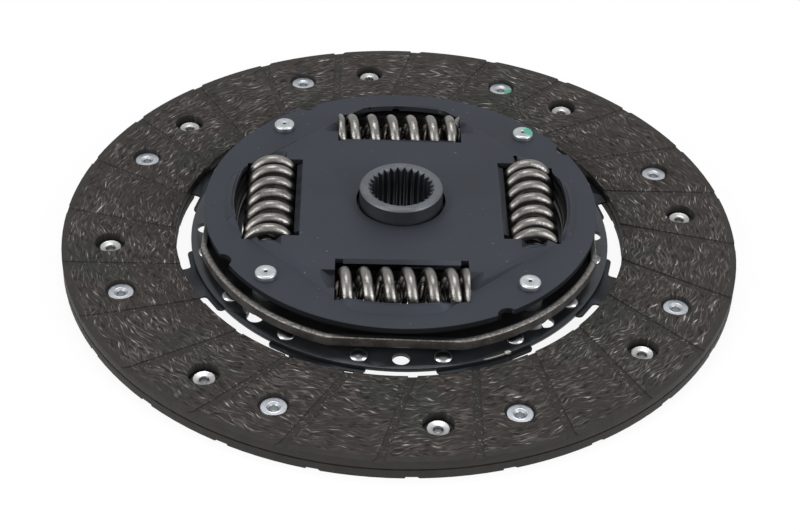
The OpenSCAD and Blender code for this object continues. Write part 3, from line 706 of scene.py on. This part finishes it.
def coil_tree():
    """A wound spring along Y with closed ends ground flat, set in its window."""
    tree, given = new_geometry_tree("coil spring", [
        ("Mean radius", "NodeSocketFloat"), ("Wire radius", "NodeSocketFloat"),
        ("Pitch", "NodeSocketFloat"), ("Closed pitch", "NodeSocketFloat"),
        ("Hand", "NodeSocketFloat"), ("Sides", "NodeSocketInt"),
        ("Rings per turn", "NodeSocketInt"), ("Phase", "NodeSocketFloat"),
        ("Half length", "NodeSocketFloat"), ("Tip overrun", "NodeSocketFloat"),
        ("Window angle", "NodeSocketFloat"), ("Window radius", "NodeSocketFloat"),
        ("Height", "NodeSocketFloat")])
    reach = add(tree, "ShaderNodeMath", {0: given["Half length"], 1: given["Tip overrun"]},
                operation="ADD")
    open_length = add(tree, "ShaderNodeMath", {0: reach.outputs[0], 1: given["Closed pitch"]},
                      operation="SUBTRACT")
    open_turns = add(tree, "ShaderNodeMath", {0: open_length.outputs[0], 1: given["Pitch"]},
                     operation="DIVIDE").outputs[0]
    half_turns = add(tree, "ShaderNodeMath", {0: open_turns, 1: 1.0}, operation="ADD").outputs[0]
    ring_share = add(tree, "ShaderNodeMath", {0: half_turns, 1: given["Rings per turn"]},
                     operation="MULTIPLY")
    rings = add(tree, "ShaderNodeMath", {0: ring_share.outputs[0], 1: 2.0}, operation="MULTIPLY")
    line = add(tree, "GeometryNodeCurvePrimitiveLine")
    path = add(tree, "GeometryNodeResampleCurve", {"Curve": line.outputs[0],
                                                   "Count": rings.outputs[0]})
    share = add(tree, "GeometryNodeSplineParameter").outputs["Factor"]
    centred = add(tree, "ShaderNodeMath", {0: share, 1: 2.0, 2: -1.0}, operation="MULTIPLY_ADD")
    turn = add(tree, "ShaderNodeMath", {0: centred.outputs[0], 1: half_turns},
               operation="MULTIPLY").outputs[0]
    size = add(tree, "ShaderNodeMath", {0: turn}, operation="ABSOLUTE").outputs[0]
    side = add(tree, "ShaderNodeMath", {0: turn}, operation="SIGN").outputs[0]
    open_part = add(tree, "ShaderNodeMath", {0: size, 1: open_turns}, operation="MINIMUM")
    past = add(tree, "ShaderNodeMath", {0: size, 1: open_turns}, operation="SUBTRACT")
    closed_part = add(tree, "ShaderNodeMath", {0: past.outputs[0], 1: 0.0}, operation="MAXIMUM")
    closed_length = add(tree, "ShaderNodeMath", {
        0: closed_part.outputs[0], 1: given["Closed pitch"]}, operation="MULTIPLY")
    length = add(tree, "ShaderNodeMath", {
        0: open_part.outputs[0], 1: given["Pitch"], 2: closed_length.outputs[0]},
        operation="MULTIPLY_ADD")
    along = add(tree, "ShaderNodeMath", {0: length.outputs[0], 1: side}, operation="MULTIPLY")
    wound = add(tree, "ShaderNodeMath", {0: given["Hand"], 1: 2 * math.pi}, operation="MULTIPLY")
    angle = add(tree, "ShaderNodeMath", {0: turn, 1: wound.outputs[0], 2: given["Phase"]},
                operation="MULTIPLY_ADD").outputs[0]
    cosine = add(tree, "ShaderNodeMath", {0: angle}, operation="COSINE")
    sine = add(tree, "ShaderNodeMath", {0: angle}, operation="SINE")
    across = add(tree, "ShaderNodeMath", {0: cosine.outputs[0], 1: given["Mean radius"]},
                 operation="MULTIPLY")
    up = add(tree, "ShaderNodeMath", {0: sine.outputs[0], 1: given["Mean radius"]},
             operation="MULTIPLY")
    on_helix = add(tree, "ShaderNodeCombineXYZ", {
        0: across.outputs[0], 1: along.outputs[0], 2: up.outputs[0]})
    helix = add(tree, "GeometryNodeSetPosition", {"Geometry": path.outputs[0],
                                                  "Position": on_helix.outputs[0]})
    wire = add(tree, "GeometryNodeCurvePrimitiveCircle", {
        "Radius": given["Wire radius"], "Resolution": given["Sides"]})
    tube = add(tree, "GeometryNodeCurveToMesh", {
        "Curve": helix.outputs[0], "Profile Curve": wire.outputs[0], "Fill Caps": True})
    position = add(tree, "GeometryNodeInputPosition").outputs[0]
    where = add(tree, "ShaderNodeSeparateXYZ", {0: position})
    negative = add(tree, "ShaderNodeMath", {0: given["Half length"], 1: -1.0},
                   operation="MULTIPLY")
    ground = add(tree, "ShaderNodeClamp", {
        "Value": where.outputs[1], "Min": negative.outputs[0], "Max": given["Half length"]})
    outward = add(tree, "ShaderNodeMath", {0: where.outputs[0], 1: given["Window radius"]},
                  operation="ADD")
    raised = add(tree, "ShaderNodeMath", {0: where.outputs[2], 1: given["Height"]},
                 operation="ADD")
    seated = add(tree, "ShaderNodeCombineXYZ", {
        0: outward.outputs[0], 1: ground.outputs[0], 2: raised.outputs[0]})
    in_window = add(tree, "ShaderNodeVectorRotate", {
        "Vector": seated.outputs[0], "Angle": given["Window angle"]}, rotation_type="Z_AXIS")
    spring = add(tree, "GeometryNodeSetPosition", {"Geometry": tube.outputs[0],
                                                   "Position": in_window.outputs[0]})
    end_tree(tree, spring.outputs[0], given["Material"])
    return tree


dress("friction_facing_front", ["facing_front"], "disc", facing, 0.25 * MM)
dress("friction_facing_rear", ["facing_rear"], "disc", facing, 0.25 * MM)
for number in range(1, 9):
    dress(f"spring_segment_{number}", [f"cushion_segment_{number}"], "disc",
          segment_steel, 0.1 * MM)
dress("segment_retainer", ["retainer_plate"], "disc", retainer_steel, 0.3 * MM)
dress("pressed_rear_plate", ["rear_plate"], "disc", rear_steel, 0.35 * MM, 3)
dress("pressed_cover", ["cover_plate"], "disc", cover_steel, 0.35 * MM, 3,
      edge_angle=14)
dress("driving_flange", ["hub_flange"], "hub_assembly", flange_steel, 0.2 * MM)
dress("splined_hub", ["hub"], "hub_assembly", hub_steel, 0.15 * MM)
dress("plastic_bush", ["friction_bush"], "disc", bush_plastic, 0.1 * MM)
dress("plastic_washer", ["friction_washer"], "disc", bush_plastic, 0.1 * MM)
dress("sprung_disc", ["disc_spring"], "disc", flange_steel, 0.1 * MM)

# Profiles of the fasteners, in millimetres from each one's own axis

# Tubular rivet, its head's underside at height 0: a flat head with a raised lip round the
# dish of its bore, and a tail rolled outwards
facing_grip = (RIVET_WEB + segment_t) / MM
tubular_profile = (
    [(1.4, -facing_grip), (1.4, -0.1), (1.55, 0.08), (2.0, 0.3), (2.25, 0.52), (2.4, 0.62),
     (2.6, 0.64), (2.8, 0.58), (3.1, 0.54)]
    + arc(4.15, 0.3, 0.3, 90, 0, 4)
    + [(4.45, 0.0), (2.3, 0.0), (2.3, -facing_grip), (3.7, -facing_grip)]
    + arc(3.35, -facing_grip - 0.42, 0.7, 30, -70, 5)
    + [(2.9, -facing_grip - 0.9), (2.2, -facing_grip - 0.84), (1.7, -facing_grip - 0.6)]
)

# Rivet of the segments, its dome's underside at height 0, with a rounded tail below
segment_grip = (RETAINER_T + segment_t) / MM
segment_rivet_profile = (
    [(0, 1.5), (0.6, 1.47), (1.2, 1.36), (1.8, 1.15), (2.4, 0.82), (2.85, 0.44), (3.08, 0.15),
     (3.1, 0.0), (2.0, 0.0), (2.0, -segment_grip), (2.7, -segment_grip)]
    + arc(1.9, -segment_grip - 0.3, 0.8, 0, -90, 5)
    + [(0, -segment_grip - 1.1)]
)

# Stop pin at its real height: a head with a centre mark on the cover, a thick body between
# the plates and a domed tail under the retainer's pad
cover_face = (cover_top - COVER_RISE) / MM
cover_under = cover_face - COVER_T / MM
head_top = cover_face + 2.1
plate_face = (rear_low.z + REAR_T) / MM
pad_under = (rear_low.z - RETAINER_T) / MM
pin_profile = (
    [(0, head_top - 0.5), (0.3, head_top - 0.44), (0.6, head_top - 0.12), (0.85, head_top - 0.02)]
    + arc(2.95, head_top - 0.8, 0.8, 90, 0, 6)
    + arc(3.55, cover_face + 0.2, 0.25, 0, -50, 3)
    + [(3.2, cover_face), (3.2, cover_under), (4.5, cover_under), (4.6, cover_under - 0.1),
       (4.6, plate_face + 0.1), (4.5, plate_face), (3.2, plate_face), (3.2, pad_under),
       (4.15, pad_under)]
    + arc(3.2, pad_under - 0.8, 1.0, 10, -90, 6)
    + [(0, pad_under - 1.8)]
)

ring = ring_tree()
fastener_rings = (
    ("rivets_front", "facing_rivets_front", "rivet_zinc", rivet_zinc, tubular_profile, 48, {
        "Places": 8, "At each place": 1, "Ring radius": FACING_RIVET_R,
        "First angle": FRONT_RIVET_ANGLE, "Pitch angle": RIVET_PITCH,
        "Height": pack_h - facing_t + RIVET_WEB}),
    ("rivets_rear", "facing_rivets_rear", "rivet_zinc", rivet_zinc, tubular_profile, 48, {
        "Places": 8, "At each place": 1, "Ring radius": FACING_RIVET_R,
        "First angle": REAR_RIVET_ANGLE, "Pitch angle": RIVET_PITCH,
        "Height": facing_t - RIVET_WEB, "Upside down": math.pi}),
    ("rivets_of_segments", "segment_rivets", "segment_rivet_steel", segment_rivet_steel,
     segment_rivet_profile, 32, {
        "Places": 8, "At each place": 2, "Ring radius": SEGMENT_RIVET_R,
        "First angle": SEGMENT_ANGLE, "Pitch angle": RIVET_PITCH,
        "Spread angle": SEGMENT_RIVET_SPREAD,
        "Height": facing_t + segment_t + RETAINER_T}),
)
for name, node, slot, finish, profile, sides, values in fastener_rings:
    mesh = run_tree(ring, lathe(profile, sides), {**values, "Material": finish})
    finish_piece(mesh, name, "disc", [node])
pins = run_tree(ring, lathe(pin_profile, 48), {
    "Places": 4, "At each place": 1, "Ring radius": PIN_R, "First angle": PIN_ANGLE,
    "Pitch angle": QUARTER, "Material": pin_zinc})
finish_piece(pins, "turned_pins", "disc", [f"stop_pin_{k}" for k in range(1, 5)])

coil = coil_tree()
for kind, sizes, phases, slot, finish in (
    ("damper_spring", OUTER_COIL, OUTER_PHASES, "spring_steel", outer_wire),
    ("inner_spring", INNER_COIL, INNER_PHASES, "inner_spring_steel", inner_wire_in_painted_shade),
):
    for k, phase in enumerate(phases):
        window = WINDOW_ANGLE + k * QUARTER
        mesh = run_tree(coil, bpy.data.meshes.new("empty"), {
            **sizes, "Phase": math.radians(phase), "Half length": SPRING_HALF,
            "Tip overrun": TIP_OVERRUN, "Window angle": window, "Window radius": SPRING_R,
            "Height": SPRING_Z, "Material": finish})
        piece = finish_piece(mesh, f"{kind}_wire_{k + 1}", "springs", [f"{kind}_{k + 1}"],
                             smooth_below=50)
        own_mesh(piece)


# Stage: white floor, world, lamps and the photograph's camera

def seen_directly(tree):
    """1 for camera, glossy and transmission rays, 0 for the rays that light the object."""
    path = add(tree, "ShaderNodeLightPath").outputs
    shown = add(tree, "ShaderNodeMath", {0: path["Is Camera Ray"], 1: path["Is Glossy Ray"]},
                operation="MAXIMUM")
    return add(tree, "ShaderNodeMath", {0: shown.outputs[0], 1: path["Is Transmission Ray"]},
               operation="MAXIMUM").outputs[0]


def white_floor():
    """A wide white floor that shows white and still takes a faint shadow."""
    half = 3.0
    glow_share = 0.9
    mesh = bpy.data.meshes.new("floor")
    low = -0.2 * MM
    mesh.from_pydata([(-half, -half, low), (half, -half, low), (half, half, low),
                      (-half, half, low)], [], [(0, 1, 2, 3)])
    floor = bpy.data.objects.new("floor", mesh)
    bpy.context.scene.collection.objects.link(floor)
    made = bpy.data.materials.new("white_paper")
    made.use_nodes = True
    tree = made.node_tree
    tree.nodes.clear()
    grey = add(tree, "ShaderNodeBsdfDiffuse", {"Color": (0.9, 0.9, 0.9, 1)})
    glow = add(tree, "ShaderNodeEmission", {"Color": (1, 1, 1, 1), "Strength": 1.0})
    shown = seen_directly(tree)
    share = add(tree, "ShaderNodeMath", {0: shown, 1: glow_share}, operation="MULTIPLY")
    mixed = add(tree, "ShaderNodeMixShader", {
        0: share.outputs[0], 1: grey.outputs[0], 2: glow.outputs[0]})
    add(tree, "ShaderNodeOutputMaterial", {"Surface": mixed.outputs[0]})
    mesh.materials.append(made)


def white_world(strength):
    """White where it is seen or mirrored, and a soft fill of that strength elsewhere."""
    world = bpy.data.worlds.new("studio")
    bpy.context.scene.world = world
    world.use_nodes = True
    tree = world.node_tree
    tree.nodes.clear()
    shown = seen_directly(tree)
    amount = add(tree, "ShaderNodeMapRange", {"Value": shown, "To Min": strength, "To Max": 1.0})
    back = add(tree, "ShaderNodeBackground", {"Color": (1, 1, 1, 1),
                                              "Strength": amount.outputs[0]})
    add(tree, "ShaderNodeOutputWorld", {"Surface": back.outputs[0]})


def softbox(name, place, width, height, power):
    """A rectangular lamp aimed at the middle of the disc."""
    lamp = bpy.data.lights.new(name, "AREA")
    lamp.shape = "RECTANGLE"
    lamp.size = width
    lamp.size_y = height
    lamp.energy = power
    holder = bpy.data.objects.new(name, lamp)
    aim = Vector((0, 0, 0.01)) - Vector(place)
    holder.matrix_world = (Matrix.Translation(place)
                           @ aim.to_track_quat("-Z", "Y").to_matrix().to_4x4())
    bpy.context.scene.collection.objects.link(holder)


def photograph_camera():
    """The camera fitted to the photograph's rings of rivets and rims."""
    lens = bpy.data.cameras.new("camera")
    lens.lens = 84.53
    lens.sensor_width = 36
    lens.clip_start = 0.01
    holder = bpy.data.objects.new("camera", lens)
    position = (0.00054, -0.5383, 0.4133)
    right = (0.99932, 0.02278, 0.02895)
    up = (-0.03684, 0.61797, 0.78527)
    back = (0.0, -0.78585, 0.61842)
    turned = Matrix((right, up, back)).transposed().to_4x4()
    holder.matrix_world = Matrix.Translation(position) @ turned
    bpy.context.scene.collection.objects.link(holder)
    bpy.context.scene.camera = holder


white_floor()
white_world(0.3)
softbox("left_front", (-0.75, -0.55, 0.55), 0.5, 0.6, 5.2)
softbox("right_front", (0.8, -0.45, 0.5), 0.45, 0.6, 4.8)
softbox("overhead", (0.0, 0.22, 0.98), 0.5, 0.35, 4.4)
softbox("low_left", (-1.0, -0.4, 0.2), 0.5, 0.2, 3)
softbox("low_right", (1.0, -0.35, 0.2), 0.5, 0.2, 3)
photograph_camera()
bpy.context.scene.view_settings.view_transform = "Standard"
